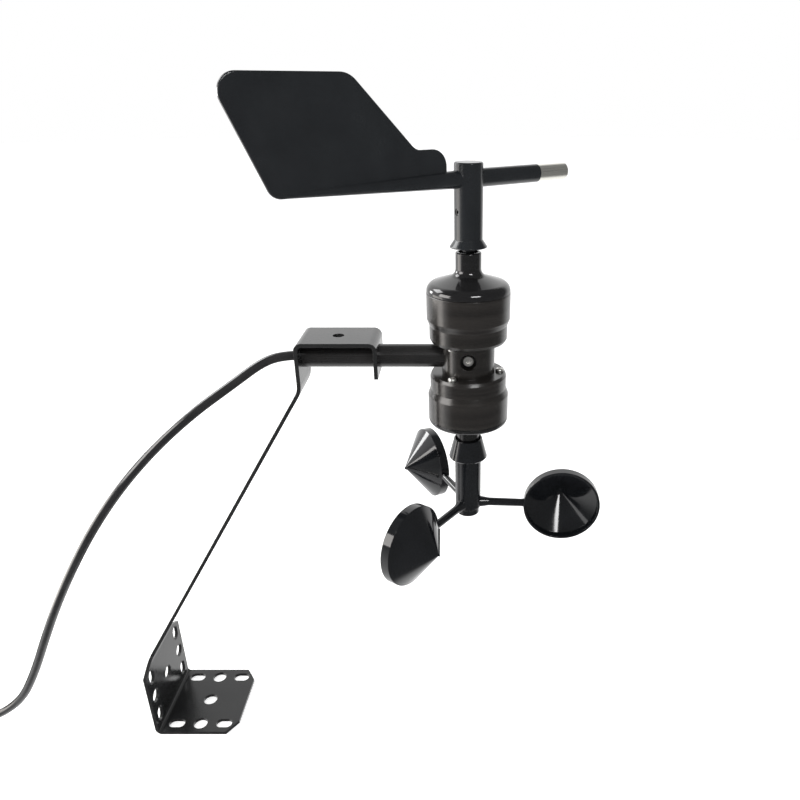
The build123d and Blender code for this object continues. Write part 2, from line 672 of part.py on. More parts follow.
def make_vane():
    boss_low = MID_Z + OUTER_BEARING + BEARING_WIDTH + BOSS_GAP
    with BuildPart() as vane:
        with BuildSketch(blade_plane()):
            with BuildLine():
                FilletPolyline(*BLADE_OUTLINE, radius=BLADE_CORNERS, close=True)
            make_face()
        extrude(amount=BLADE_THICKNESS / 2, both=True)
        sides = vane.faces().sort_by(Axis((AXIS_X, 0, 0), blade_plane().z_dir))
        fillet(sides[0].edges() + sides[-1].edges(), radius=BLADE_EDGE)

        # tapered tail that carries the blade
        with BuildSketch(vane_plane(2, "tail")):
            Circle(VANE_ARM_RADIUS)
        with BuildSketch(vane_plane(TAIL_REACH, "tail")):
            with Locations((0, -TAIL_DROP)):
                Circle(TAIL_END_RADIUS)
        loft()

        rod(vane_plane(2), VANE_ARM_RADIUS, NOSE_REACH - 2)
        spin([
            (0, boss_low), (HUB_BOSS, boss_low), (HUB_BOSS, SKIRT_ROOT), (5.0, SKIRT_ROOT),
            (VANE_SKIRT_RADIUS - SKIRT_WALL, VANE_SKIRT_RIM), (VANE_SKIRT_RADIUS, VANE_SKIRT_RIM),
            (VANE_SKIRT_RADIUS, VANE_SKIRT_RIM + 0.4), (VANE_HUB_RADIUS, 302.2),
            (VANE_HUB_RADIUS, VANE_HUB_TOP - 0.5), (VANE_HUB_RADIUS - 0.5, VANE_HUB_TOP), (0, VANE_HUB_TOP),
        ])
        shaft_hole = Plane(origin=(AXIS_X, 0, boss_low - 1))
        drill(shaft_hole, HUB_BORE, MID_Z + VANE_SHAFT_END - boss_low + 1 + FIT)
        drill(vane_plane(NOSE_REACH - WEIGHT_SHANK - 0.2), WEIGHT_SHANK_RADIUS + FIT, WEIGHT_SHANK + 8)
        drill(sideways(VANE_YAW + 180, 0, VANE_GRUB_Z), GRUB_RADIUS + FIT, VANE_HUB_RADIUS + 3)
    save(vane, "vane_blade_and_hub")

    with BuildPart() as weight:
        rod(vane_plane(NOSE_REACH - WEIGHT_SHANK), WEIGHT_SHANK_RADIUS, WEIGHT_SHANK + 0.2)
        rod(vane_plane(NOSE_REACH), WEIGHT_RADIUS, WEIGHT_REACH - NOSE_REACH)
        chamfer(crown(vane_plane(WEIGHT_REACH)), length=0.7)
    save(weight, "vane_counterweight")

    make_grub_screw("vane_grub_screw", VANE_YAW + 180, VANE_GRUB_Z, VANE_HUB_RADIUS)


def sideways(turn_degrees, reach, height):
    """Upright plane whose normal points outwards from the sensor's axis."""
    c, s = cos(radians(turn_degrees)), sin(radians(turn_degrees))
    return Plane(origin=(AXIS_X + reach * c, reach * s, height), x_dir=(-s, c, 0), z_dir=(c, s, 0))


def make_grub_screw(name, turn_degrees, height, hub_radius):
    """A set screw from the shaft's surface almost to the hub's surface, hexagon socket outwards."""
    start = SHAFT_RADIUS + FIT / 2
    end = start + hub_radius - SHAFT_RADIUS - 0.5
    with BuildPart() as grub:
        rod(sideways(turn_degrees, start, height), GRUB_RADIUS, end - start)
        hexagon_socket(sideways(turn_degrees, end, height), *GRUB_SOCKET)
    save(grub, name)


# ================================================================== cup rotor
ROTOR_GRUB_Z = 168.0
ROTOR_GRUB_TURN = 60.0
ROTOR_SHAFT_END = MID_Z - 151.0
ROTOR_SKIRT_TOP = 195.1
ROTOR_SKIRT_RIM = 183.6
ROTOR_SKIRT_INSIDE = 187.6
ROTOR_FOOT_RADIUS = 6.3


def cup_plane(turn_degrees):
    """Plane through one cup's axis: x is the radius (upwards), y runs along the axis to the point."""
    turn = radians(turn_degrees)
    origin = (AXIS_X + CUP_CIRCLE * cos(turn), CUP_CIRCLE * sin(turn), ARM_Z)
    return Plane(origin=origin, x_dir=(0, 0, 1), z_dir=(-cos(turn), -sin(turn), 0))


CONE_RADIUS = CUP_RADIUS - CUP_LIP
CONE_START = CUP_LIP_END + 0.4
CONE_END = CUP_POINT - CUP_TIP_HEIGHT


def cup_outline():
    return [
        (0, CUP_RIM), (CUP_RADIUS - CUP_EDGE, CUP_RIM), (CUP_RADIUS, CUP_RIM + CUP_EDGE),
        (CUP_RADIUS, CUP_LIP_END), (CONE_RADIUS, CONE_START), (CUP_TIP_RADIUS, CONE_END), (0, CUP_POINT),
    ]


def cup_hollow():
    """The open inside: a short cylinder and a cone, CUP_WALL away from the outer surface."""
    slope = hypot(CONE_RADIUS, CUP_POINT - CONE_START) / CONE_RADIUS
    inside, inner_point = CUP_RADIUS - CUP_WALL, CUP_POINT - CUP_WALL * slope
    return [
        (0, CUP_RIM - 1), (inside, CUP_RIM - 1), (inside, CUP_LIP_END - CUP_LIP), (0, inner_point),
    ]


def revolve_about_cup(outline, turn_degrees, mode=Mode.ADD):
    plane = cup_plane(turn_degrees)
    with BuildSketch(plane) as section:
        with BuildLine():
            Polyline(*outline, close=True)
        make_face()
    revolve(section.sketch, axis=Axis(plane.origin, plane.y_dir), mode=mode)


def cup_slant(across):
    """Position along the cup's axis where the outer cone has the radius given."""
    return CONE_START + (CONE_END - CONE_START) * (CONE_RADIUS - across) / (CONE_RADIUS - CUP_TIP_RADIUS)


def cup_rib(turn_degrees):
    """Thin rib on the outer cone, from the end of the arm to the cup's point."""
    foot = CUP_RADIUS - 2.0
    plane = cup_plane(turn_degrees)
    across = Vector(-cos(radians(turn_degrees)), -sin(radians(turn_degrees)), 0)
    with BuildSketch(Plane(origin=plane.origin, x_dir=across, z_dir=across.cross(plane.y_dir))) as profile:
        with BuildLine():
            Polyline(
                (foot, cup_slant(foot) - 0.5), (foot, cup_slant(foot) + RIB_HEIGHT),
                (0.5, CUP_POINT + 0.4), (0, CUP_POINT - 1.0), close=True,
            )
        make_face()
    extrude(profile.sketch, amount=RIB_THICKNESS / 2, both=True)


def make_cups():
    for name, turn in CUP_ANGLES.items():
        with BuildPart() as cup:
            revolve_about_cup(cup_outline(), turn)
            cup_rib(turn)
            revolve_about_cup(cup_hollow(), turn, Mode.SUBTRACT)
        save(cup, f"cup_{name}")


def arm_section(reach, height, width, turn_degrees):
    """Elliptical section of a rotor arm at a reach from the axis."""
    with BuildSketch(sideways(turn_degrees, reach, ARM_Z)) as section:
        Ellipse(width / 2, height / 2)
    return section.sketch


def make_rotor():
    boss_top = MID_Z - OUTER_BEARING - BEARING_WIDTH - BOSS_GAP
    with BuildPart() as rotor:
        for turn in CUP_ANGLES.values():
            for sizes in (ARM_ROOT, [ARM_ROOT[-1], ARM_NECK], [ARM_NECK, ARM_TIP]):
                loft([arm_section(*size, turn) for size in sizes])
        for turn in CUP_ANGLES.values():
            revolve_about_cup(cup_outline(), turn, Mode.SUBTRACT)
        spin([
            (0, ROTOR_HUB_END), (ROTOR_FOOT_RADIUS - 0.5, ROTOR_HUB_END),
            (ROTOR_FOOT_RADIUS, ROTOR_HUB_END + 0.5), (ROTOR_FOOT_RADIUS, 151.4),
            (ROTOR_HUB_RADIUS, 152.4), (ROTOR_HUB_RADIUS, ROTOR_SKIRT_RIM), (9.9, ROTOR_SKIRT_RIM),
            (10.45, ROTOR_SKIRT_RIM + SKIRT_WALL), (7.7, ROTOR_SKIRT_TOP), (7.0, ROTOR_SKIRT_TOP),
            (7.0, ROTOR_SKIRT_INSIDE), (HUB_BOSS, ROTOR_SKIRT_INSIDE), (HUB_BOSS, boss_top), (0, boss_top),
        ])
        drill(Plane(origin=(AXIS_X, 0, MID_Z - ROTOR_SHAFT_END - FIT)), HUB_BORE, ROTOR_SHAFT_END)
        drill(sideways(ROTOR_GRUB_TURN, 0, ROTOR_GRUB_Z), GRUB_RADIUS + FIT, ROTOR_HUB_RADIUS + 3)
    save(rotor, "rotor_hub_and_arms")
    make_grub_screw("rotor_grub_screw", ROTOR_GRUB_TURN, ROTOR_GRUB_Z, ROTOR_HUB_RADIUS)


# ================================================================== free lead
def arc_radii(route):
    """Bend radius for each corner: as large as the two runs beside it allow."""
    points = [Vector(*p) for p in route]
    radii = []
    for before, corner, after in zip(points, points[1:], points[2:]):
        come, go = corner - before, after - corner
        turn = radians(come.get_angle(go))
        radii.append(BEND_SHARE * min(come.length, go.length) / tan(turn / 2))
    return radii


def make_lead():
    radii = arc_radii(LEAD_ROUTE)
    print("lead bend radii:", [round(r, 1) for r in radii])
    with BuildPart() as lead:
        with BuildLine():
            path = FilletPolyline(*LEAD_ROUTE, radius=radii)
        with BuildSketch(Plane(origin=path @ 0, z_dir=path % 0)):
            Circle(LEAD_RADIUS)
        sweep(path=path)
    length = path.length
    print("lead run", round(length, 1), "volume ratio", lead.part.volume / (pi * LEAD_RADIUS**2 * length))
    save(lead, "lead_run")

    with BuildPart() as coil:
        with BuildSketch(coil_plane()) as section:
            coil_section()
        revolve(section.sketch, axis=COIL_AXIS)
    save(coil, "lead_coil")

    # a strap round the turns, on the side away from the object
    arc = degrees(TIE_WIDTH / COIL_STEP)
    with BuildPart() as tie:
        with BuildSketch(coil_plane(-TIE_TURN)) as section:
            coil_section()
            offset(amount=TIE_THICKNESS)
            coil_section(Mode.SUBTRACT)
        revolve(section.sketch, axis=COIL_AXIS, revolution_arc=arc)
    save(tie, "lead_coil_tie")


def coil_section(mode=Mode.ADD):
    """Half section of the coil, as (radius, height): a step leaves the middle layer's top bare."""
    with BuildLine() as outline:
        FilletPolyline(
            (COIL_INNER, COIL_BASE), (COIL_OUTER, COIL_BASE), (COIL_OUTER, COIL_TOP), (COIL_STEP, COIL_TOP),
            (COIL_STEP, COIL_SHELF), (COIL_INNER, COIL_SHELF), radius=COIL_ROUND, close=True,
        )
    make_face(outline.edges(), mode=mode)


def coil_plane(turn_degrees=0.0):
    """Upright plane through the coil's axis: x is the radius, y is the world height."""
    c, s = cos(radians(turn_degrees)), sin(radians(turn_degrees))
    return Plane(origin=(*COIL_CENTRE, 0), x_dir=(c, s, 0), z_dir=(s, -c, 0))


def make_cores():
    """Bare cores at the far end: they leave the top layer and lie side by side on the middle one."""
    on_shelf = COIL_SHELF + CORE_RADIUS + 0.05
    lead_end = COIL_TOP - LEAD_RADIUS
    steps = [(56, 27.0, lead_end), (36, 22.7, on_shelf + 0.8), (20, 21.0, on_shelf), (5, 21.0, on_shelf)]
    with BuildPart() as cores:
        for i in range(CORE_COUNT):
            side = (i - (CORE_COUNT - 1) / 2) * (2 * CORE_RADIUS + 0.1)
            place = [coil_plane(turn).from_local_coords((r + side, height, 0)) for turn, r, height in steps]
            with BuildLine():
                path = FilletPolyline(*place, radius=CORE_BEND)
            with BuildSketch(Plane(origin=path @ 0, z_dir=path % 0)) as section:
                Circle(CORE_RADIUS)
            sweep(section.sketch, path=path.edges())
    save(cores, "lead_cores")


def main():
    os.makedirs("parts", exist_ok=True)
    make_bracket()
    make_arm()
    make_centre_body()
    make_housing("upper_housing", 1)
    make_housing("lower_housing", -1)
    make_cap("upper_cap", 1, upper_shell, cap_inside(34.4, 37.2, 39.2))
    make_cap("lower_cap", -1, lower_shell, cap_inside(33.9, 35.4, 37.0))
    for name, side in (("upper", 1), ("lower", -1)):
        make_flange_screws(f"{name}_flange_screws", side)
        make_o_ring(f"{name}_flange_seal", side, 12.5, (SEAL_LOW + SEAL_HIGH) / 2, 0.5)
        make_o_ring(f"{name}_cap_seal", side, 17.9, (CAP_SEAL_LOW + CAP_SEAL_HIGH) / 2, 0.65)
    for name, side, shaft_end in (("vane", 1, VANE_SHAFT_END), ("rotor", -1, ROTOR_SHAFT_END)):
        make_board(name, side)
        make_wires(name, side)
        make_bearing(f"{name}_inner_bearing", side, INNER_BEARING)
        make_bearing(f"{name}_outer_bearing", side, OUTER_BEARING)
        make_shaft(name, side, shaft_end)
    make_vane()
    make_rotor()
    make_cups()
    make_lead()
    make_cores()


main()
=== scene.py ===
import json
from math import cos, pi, radians, sin

import bmesh
import bpy
from mathutils import Matrix, Vector


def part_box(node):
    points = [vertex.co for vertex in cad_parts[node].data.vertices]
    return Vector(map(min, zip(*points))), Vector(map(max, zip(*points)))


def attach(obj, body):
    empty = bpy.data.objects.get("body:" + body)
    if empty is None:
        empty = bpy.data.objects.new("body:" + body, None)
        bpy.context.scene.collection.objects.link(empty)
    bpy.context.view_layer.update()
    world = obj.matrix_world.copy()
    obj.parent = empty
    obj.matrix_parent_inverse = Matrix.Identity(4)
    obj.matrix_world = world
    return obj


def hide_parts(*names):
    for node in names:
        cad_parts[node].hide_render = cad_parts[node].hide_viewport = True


# Looks of the wind sensor. Metres, in the frame of the CAD model: +Z up, +X from foot to sensor.
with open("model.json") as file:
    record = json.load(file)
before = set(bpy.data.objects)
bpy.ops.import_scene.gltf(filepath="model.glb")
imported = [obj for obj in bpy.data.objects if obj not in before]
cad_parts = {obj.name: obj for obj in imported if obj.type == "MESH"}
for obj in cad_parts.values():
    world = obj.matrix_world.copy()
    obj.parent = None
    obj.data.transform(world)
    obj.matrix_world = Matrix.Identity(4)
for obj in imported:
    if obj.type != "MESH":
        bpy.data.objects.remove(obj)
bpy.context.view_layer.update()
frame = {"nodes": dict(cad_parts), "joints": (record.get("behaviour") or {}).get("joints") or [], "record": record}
nodes = frame["nodes"]
scene = bpy.context.scene
scene.view_settings.view_transform = "Standard"

AXIS_POINT = Vector(frame["joints"][0]["pos_m"])      # on the sensor's upright axis
STATIC = "mount_and_body"
MM = 0.001
MICRON = 0.000001

# ------------------------------------------------------------------ camera
CAMERA_PLACE = (0.1692, -0.3582, 0.3694)
CAMERA_PITCH = 25.36          # degrees below the horizon
CAMERA_LENS = 32.63
CAMERA_SENSOR = 36.0
CAMERA_SHIFT = (-0.0822, 0.0375)
CAMERA_NEAR = 0.01


def make_camera():
    data = bpy.data.cameras.new("camera")
    data.lens = CAMERA_LENS
    data.sensor_width = CAMERA_SENSOR
    data.shift_x, data.shift_y = CAMERA_SHIFT
    data.clip_start = CAMERA_NEAR
    camera = bpy.data.objects.new("camera", data)
    camera.location = CAMERA_PLACE
    camera.rotation_euler = (radians(90 - CAMERA_PITCH), 0, 0)
    scene.collection.objects.link(camera)
    scene.camera = camera


# ------------------------------------------------------------------ lead
# Route, coil and core places are in millimetres, and the points made from them are in metres.
LEAD_RADIUS = 2.5 * MM
LEAD_ROUTE = [
    (82.8, 0.0, 242.7),
    (75.2, 0.0, 242.7),
    (63.6, -1.3, 239.8),
    (48.0, -6.9, 229.3),
    (28.7, -15.0, 217.0),
    (8.6, -22.5, 200.6),
    (-11.8, -28.0, 179.4),
    (-30.6, -30.6, 155.0),
    (-47.8, -31.0, 128.6),
    (-63.6, -29.6, 102.0),
    (-78.0, -27.3, 75.0),
    (-92.0, -24.3, 48.2),
    (-108.0, -21.6, 23.0),
    (-131.0, -19.9, 6.5),
    (-156.0, -19.3, 2.6),
]
COIL_CENTRE = Vector((-193.0, 16.0, 0.0))
COIL_START_TURN = 270.0       # degrees round the coil, where the lead comes in
COIL_OUTER = 35.2             # radius of the widest turn
COIL_PITCH = 5.15
TURNS_PER_LAYER = 3
COIL_TURNS = 8.6
LAYER_HEIGHTS = (3.3, 8.4, 13.5)
LAYER_CLIMB = 0.2             # of a turn, to go up one layer
POINTS_PER_TURN = 16
CORNER_CUT = 1 / cos(pi / POINTS_PER_TURN) ** 2       # a spline of order 3 cuts its corners by this much

CORE_RADIUS = 0.65 * MM
CORE_COLOURS = {"red": (0.42, 0.02, 0.015), "black": (0.015, 0.015, 0.016),
                "yellow": (0.6, 0.4, 0.02), "blue": (0.02, 0.09, 0.38)}
CORE_CIRCLE = 0.95            # radius of the circle of four core centres in the sheath
CORE_SPACING = 1.4            # between cores that lie side by side
CORES_PLACE = 21.0            # where they lie, from the coil's centre
CORE_LIFT = 3.2               # from a turn's centreline to that of a core on top of it
# distance along the ferrule, radius
FERRULE_PROFILE = [(0.0, 0.72), (0.3, 0.95), (1.2, 0.95), (1.5, 0.62), (5.2, 0.62), (5.5, 0.5)]
FERRULE_SIDES = 20
FERRULE_OVERLAP = 1.5         # of the sleeve over the core's end


def coil_radius(t):
    """Radius after t turns: in, out, then in again."""
    layer, turn = divmod(t, TURNS_PER_LAYER)
    inward = COIL_OUTER - COIL_PITCH * turn
    outward = COIL_OUTER - COIL_PITCH * (TURNS_PER_LAYER - turn)
    return outward if int(layer) == 1 else inward


def coil_height(t):
    """Height after t turns: level on each layer, with a short climb to the next."""
    height = LAYER_HEIGHTS[0]
    for i, step in enumerate((TURNS_PER_LAYER, 2 * TURNS_PER_LAYER)):
        climbed = min(max((t - step) / LAYER_CLIMB + 0.5, 0), 1)
        height += climbed * (LAYER_HEIGHTS[i + 1] - LAYER_HEIGHTS[i])
    return height


def round_coil(radius, turn_degrees, height):
    turn = radians(turn_degrees)
    return COIL_CENTRE + Vector((radius * cos(turn), radius * sin(turn), height))


def lead_points():
    points = [Vector(p) for p in LEAD_ROUTE]
    count = round(COIL_TURNS * POINTS_PER_TURN)
    for i in range(1, count + 1):
        t = i / POINTS_PER_TURN
        spread = coil_radius(t) * (CORNER_CUT if i < count else 1)
        points.append(round_coil(spread, COIL_START_TURN - 360 * t, coil_height(t)))
    return [p * MM for p in points]


def core_points(index):
    """One core, from inside the cut end of the sheath down onto the layer of turns below."""
    across = (index - 1.5) * CORE_SPACING
    quarter = radians(45 + 90 * index)
    start_radius = coil_radius(COIL_TURNS) + CORE_CIRCLE * cos(quarter)
    start_height = LAYER_HEIGHTS[2] + CORE_CIRCLE * sin(quarter)
    rest_height = LAYER_HEIGHTS[1] + CORE_LIFT
    cut_turn = COIL_START_TURN - 360 * COIL_TURNS
    steps = [                 # degrees past the cut, radius, height
        (-3, start_radius, start_height),
        (2, start_radius, start_height),
        (14, CORES_PLACE + 0.4 + 0.8 * across, rest_height + 0.9),
        (28, CORES_PLACE + across, rest_height),
        (38 + 2.5 * index, CORES_PLACE + across, rest_height),
    ]
    return [round_coil(radius, cut_turn - past, height) * MM for past, radius, height in steps]


def cord_curve(name, points, radius, sides=6):
    """A round cord along a smooth line with these control points."""
    data = bpy.data.curves.new(name, "CURVE")
    data.dimensions = "3D"
    spline = data.splines.new("NURBS")
    spline.points.add(len(points) - 1)
    for point, place in zip(spline.points, points):
        point.co = (*place, 1)
        point.radius = radius
    spline.order_u = 3
    spline.use_endpoint_u = True
    spline.resolution_u = 8
    data.bevel_depth = 1.0
    data.bevel_resolution = sides
    data.use_fill_caps = True
    curve = bpy.data.objects.new(name, data)
    scene.collection.objects.link(curve)
    return curve


def curve_length(curve):
    """Length of the centreline, from the curve without its bevel."""
    depth = curve.data.bevel_depth
    curve.data.bevel_depth = 0
    bpy.context.view_layer.update()
    line = bpy.data.meshes.new_from_object(curve.evaluated_get(bpy.context.evaluated_depsgraph_get()))
    curve.data.bevel_depth = depth
    places = [v.co.copy() for v in line.vertices]
    bpy.data.meshes.remove(line)
    return sum((b - a).length for a, b in zip(places, places[1:]))


# ------------------------------------------------------------------ shader nodes
class Shade:
    """A material under construction: one Principled shader and the nodes that feed it."""

    def __init__(self, name, **constants):
        self.material = bpy.data.materials.new(name)
        self.material.use_nodes = True
        self.tree = self.material.node_tree
        self.shader = self.tree.nodes["Principled BSDF"]
        self.place = self.tree.nodes.new("ShaderNodeTexCoord").outputs["Object"]
        for key, value in constants.items():
            self.shader.inputs[key.replace("_", " ")].default_value = value

    def add(self, kind, **settings):
        node = self.tree.nodes.new("ShaderNode" + kind)
        for key, value in settings.items():
            setattr(node, key, value)
        return node

    def link(self, output, socket):
        self.tree.links.new(output, socket)

    def mapped(self, scale=(1, 1, 1), turn=0.0):
        """Object coordinates, turned about Z by so many radians and then scaled."""
        turned = self.add("Mapping")
        turned.inputs["Rotation"].default_value = (0, 0, turn)
        self.link(self.place, turned.inputs["Vector"])
        stretched = self.add("Mapping")
        stretched.inputs["Scale"].default_value = scale
        self.link(turned.outputs[0], stretched.inputs["Vector"])
        return stretched.outputs[0]

    def noise(self, scale, detail, vector=None, rough=0.55):
        """Noise with so many waves a metre, or a unit of the vector."""
        node = self.add("TexNoise")
        node.inputs["Scale"].default_value = scale
        node.inputs["Detail"].default_value = detail
        node.inputs["Roughness"].default_value = rough
        self.link(vector or self.place, node.inputs["Vector"])
        return node.outputs["Fac"]

    def ramp(self, value, low, high, start=0.3, end=0.7):
        """Map a value between start and end onto the range from low to high."""
        node = self.add("MapRange")
        for key, number in (("From Min", start), ("From Max", end), ("To Min", low), ("To Max", high)):
            node.inputs[key].default_value = number
        self.link(value, node.inputs["Value"])
        return node.outputs["Result"]

    def colour(self, value, dark, light, start=0.3, end=0.7):
        """Base colour, from dark to light as a value goes from start to end."""
        node = self.add("Mix", data_type="RGBA")
        node.inputs["A"].default_value = (*dark, 1)
        node.inputs["B"].default_value = (*light, 1)
        self.link(self.ramp(value, 0, 1, start, end), node.inputs["Factor"])
        self.link(node.outputs["Result"], self.shader.inputs["Base Color"])

    def roughness(self, value, low, high):
        self.link(self.ramp(value, low, high), self.shader.inputs["Roughness"])

    def cloudy_gloss(self, value, rough):
        """Roughness a little below and above its middle value."""
        self.roughness(value, rough * 0.85, rough * 1.2)

    def bumps(self, *layers, edge=0):
        """Stack bumps, given as (height output, depth in microns), on edges rounded by so many microns."""
        normal = None
        if edge:
            bevel = self.add("Bevel", samples=4)
            bevel.inputs["Radius"].default_value = edge * MICRON
            normal = bevel.outputs[0]
        for height, depth in layers:
            node = self.add("Bump")
            node.inputs["Distance"].default_value = depth * MICRON
            self.link(height, node.inputs["Height"])
            if normal:
                self.link(normal, node.inputs["Normal"])
            normal = node.outputs["Normal"]
        self.link(normal, self.shader.inputs["Normal"])


# ------------------------------------------------------------------ materials
RINGS = (9, 9, 5200)          # stretch of a noise that makes marks round the upright axis
LENGTHWISE = (9, 2400, 2400)  # stretch of a noise that makes marks along X
STRAP_SLANT = radians(20)


def powder_coat():
    """Black powder coat: fine orange peel, and dust that dulls it in patches."""
    s = Shade("bracket_coat", Specular_IOR_Level=0.5)
    patches = s.noise(38, 4)
    s.colour(patches, (0.010, 0.0105, 0.011), (0.017, 0.0175, 0.018))
    s.roughness(patches, 0.16, 0.25)
    s.bumps((s.noise(900, 2), 40), (s.noise(3800, 1), 10), edge=400)
    return s.material


def turned_black(name, rough, dark, light, depth):
    """Black anodised aluminium, with lathe marks in rings round the upright axis."""
    s = Shade(name, Specular_IOR_Level=0.6)
    rings = s.noise(1, 3, s.mapped((6, 6, 5200)), rough=0.7)
    bands = s.noise(1, 1, s.mapped((3, 3, 420)))
    s.colour(bands, dark, light)
    s.cloudy_gloss(s.noise(46, 4), rough)
    s.bumps((rings, depth), (bands, depth * 2), edge=250)
    return s.material


def tube_black():
    """The arm tube: black anodised, drawn along X, so its faint lines run lengthwise."""
    s = Shade("arm_anodised", Specular_IOR_Level=0.5)
    lines = s.noise(1, 3, s.mapped((25, 4200, 4200)))
    s.colour(s.noise(60, 3), (0.011, 0.011, 0.011), (0.017, 0.016, 0.016))
    s.roughness(lines, 0.2, 0.3)
    s.bumps((lines, 8), edge=200)
    return s.material


def moulded(name, rough, dark, light, grain, depth, ripple=20):
    """Moulded plastic: a fine grain over slow ripples, with cloudy gloss."""
    s = Shade(name, Specular_IOR_Level=0.5)
    clouds = s.noise(55, 4)
    s.colour(clouds, dark, light)
    s.cloudy_gloss(clouds, rough)
    s.bumps((s.noise(grain, 2), depth), (s.noise(95, 1), ripple), edge=350)
    return s.material


def turned_metal(name, colour, rough, stretch=RINGS, turn=0.0, depth=12):
    """Bare metal, with the marks that the stretch makes, turned about Z."""
    s = Shade(name, Metallic=1.0)
    marks = s.noise(1, 3, s.mapped(stretch, turn), rough=0.65)
    s.colour(marks, tuple(c * 0.75 for c in colour), colour)
    s.roughness(marks, rough * 0.8, rough * 1.25)
    s.bumps((marks, depth), edge=200)
    return s.material


def sheath():
    """Extruded black sheath of the lead: glossy, with slight waviness."""
    s = Shade("lead_sheath", Specular_IOR_Level=0.7)
    clouds = s.noise(70, 4)
    s.colour(clouds, (0.011, 0.011, 0.012), (0.019, 0.019, 0.020))
    s.roughness(clouds, 0.13, 0.2)
    s.bumps((s.noise(1400, 2), 6), (s.noise(160, 1), 50))
    return s.material


def rubber():
    """Matt black rubber with fine specks."""
    s = Shade("seal_rubber", Specular_IOR_Level=0.3)
    specks = s.noise(2600, 2)
    s.colour(specks, (0.012, 0.012, 0.012), (0.02, 0.02, 0.02))
    s.roughness(specks, 0.55, 0.75)
    s.bumps((specks, 20))
    return s.material


def insulation(name, colour):
    """Thin coloured insulation of a core."""
    s = Shade(name, Specular_IOR_Level=0.5)
    clouds = s.noise(300, 3)
    s.colour(clouds, tuple(c * 0.8 for c in colour), colour)
    s.roughness(clouds, 0.25, 0.4)
    s.bumps((s.noise(3000, 1), 10))
    return s.material


def circuit_board():
    """Green solder mask over raised copper tracks."""
    s = Shade("board_mask", Specular_IOR_Level=0.5)
    tracks = s.add("TexBrick")
    tracks.inputs["Scale"].default_value = 420
    tracks.inputs["Mortar Size"].default_value = 0.06
    s.link(s.place, tracks.inputs["Vector"])
    s.colour(tracks.outputs["Fac"], (0.012, 0.11, 0.045), (0.03, 0.2, 0.08), start=0, end=1)
    s.roughness(s.noise(200, 3), 0.25, 0.4)
    s.bumps((tracks.outputs["Fac"], 30), edge=100)
    return s.material


def strap_weave():
    """Woven strap: two crossed sets of threads, with a fuzzy nap."""
    s = Shade("tie_strap", Specular_IOR_Level=0.25, Sheen_Weight=0.4)
    threads = []
    for direction in ("X", "Z"):
        wave = s.add("TexWave", bands_direction=direction)
        wave.inputs["Scale"].default_value = 330
        wave.inputs["Distortion"].default_value = 1.5
        s.link(s.mapped(turn=STRAP_SLANT), wave.inputs["Vector"])
        threads.append((wave.outputs["Fac"], 120))
    nap = s.noise(1500, 4)
    s.colour(nap, (0.01, 0.01, 0.011), (0.03, 0.03, 0.032))
    s.roughness(nap, 0.7, 0.9)
    s.bumps(*threads, (nap, 100))
    return s.material


def vane_direction():
    """Direction of the counterweight from the axis at rest, in radians from +X towards +Y."""
    low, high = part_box("vane_counterweight")
    out = (low + high) / 2 - AXIS_POINT
    return -Vector((1, 0)).angle_signed(Vector((out.x, out.y)))


def make_materials():
    """One material for each of the record's material slots."""
    return {
        "bracket_coat": powder_coat(),
        "black_anodised": turned_black(
            "black_anodised", rough=0.21, dark=(0.009, 0.0082, 0.0074), light=(0.019, 0.0172, 0.0155),
            depth=20),
        "black_polished": turned_black(
            "black_polished", rough=0.1, dark=(0.007, 0.007, 0.0075), light=(0.011, 0.011, 0.0115),
            depth=3),
        "black_steel": turned_black(
            "black_steel", rough=0.3, dark=(0.012, 0.012, 0.012), light=(0.02, 0.02, 0.02), depth=10),
        "vane_plastic": moulded(
            "vane_plastic", rough=0.18, dark=(0.009, 0.0103, 0.012), light=(0.013, 0.0148, 0.0168),
            grain=2600, depth=8),
        "cup_plastic": moulded(
            "cup_plastic", rough=0.085, dark=(0.005, 0.0056, 0.0066), light=(0.009, 0.01, 0.0115),
            grain=700, depth=4, ripple=10),
        "chip_black": moulded(
            "chip_black", rough=0.5, dark=(0.012, 0.012, 0.012), light=(0.02, 0.02, 0.02),
            grain=5000, depth=20),
        "weight_nickel": turned_metal(
            "weight_nickel", (0.95, 0.94, 0.87), rough=0.3, stretch=LENGTHWISE, turn=-vane_direction(),
            depth=20),
        "steel": turned_metal("steel", (0.86, 0.85, 0.82), rough=0.3),
        "bearing_steel": turned_metal("bearing_steel", (0.68, 0.68, 0.68), rough=0.15),
        "magnet_nickel": turned_metal("magnet_nickel", (0.7, 0.68, 0.64), rough=0.2),
        "brass": turned_metal("brass", (0.72, 0.52, 0.22), rough=0.25),
        "board_green": circuit_board(),
        "seal_rubber": rubber(),
        "lead_sheath": sheath(),
        "core_insulation": insulation("core_red", CORE_COLOURS["red"]),
        "tie_strap": strap_weave(),
    }


def set_material(obj, material):
    obj.data.materials.clear()
    obj.data.materials.append(material)


# ------------------------------------------------------------------ pieces made here
def add_mesh(name, grid):
    """An object from a finished bmesh."""
    mesh = bpy.data.meshes.new(name)
    grid.to_mesh(mesh)
    grid.free()
    obj = bpy.data.objects.new(name, mesh)
    scene.collection.objects.link(obj)
    return obj


def make_lead(materials):
    lead = cord_curve("lead", lead_points(), LEAD_RADIUS)
    set_material(lead, materials["lead_sheath"])
    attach(lead, STATIC)
    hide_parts("lead_run", "lead_coil")
    return lead


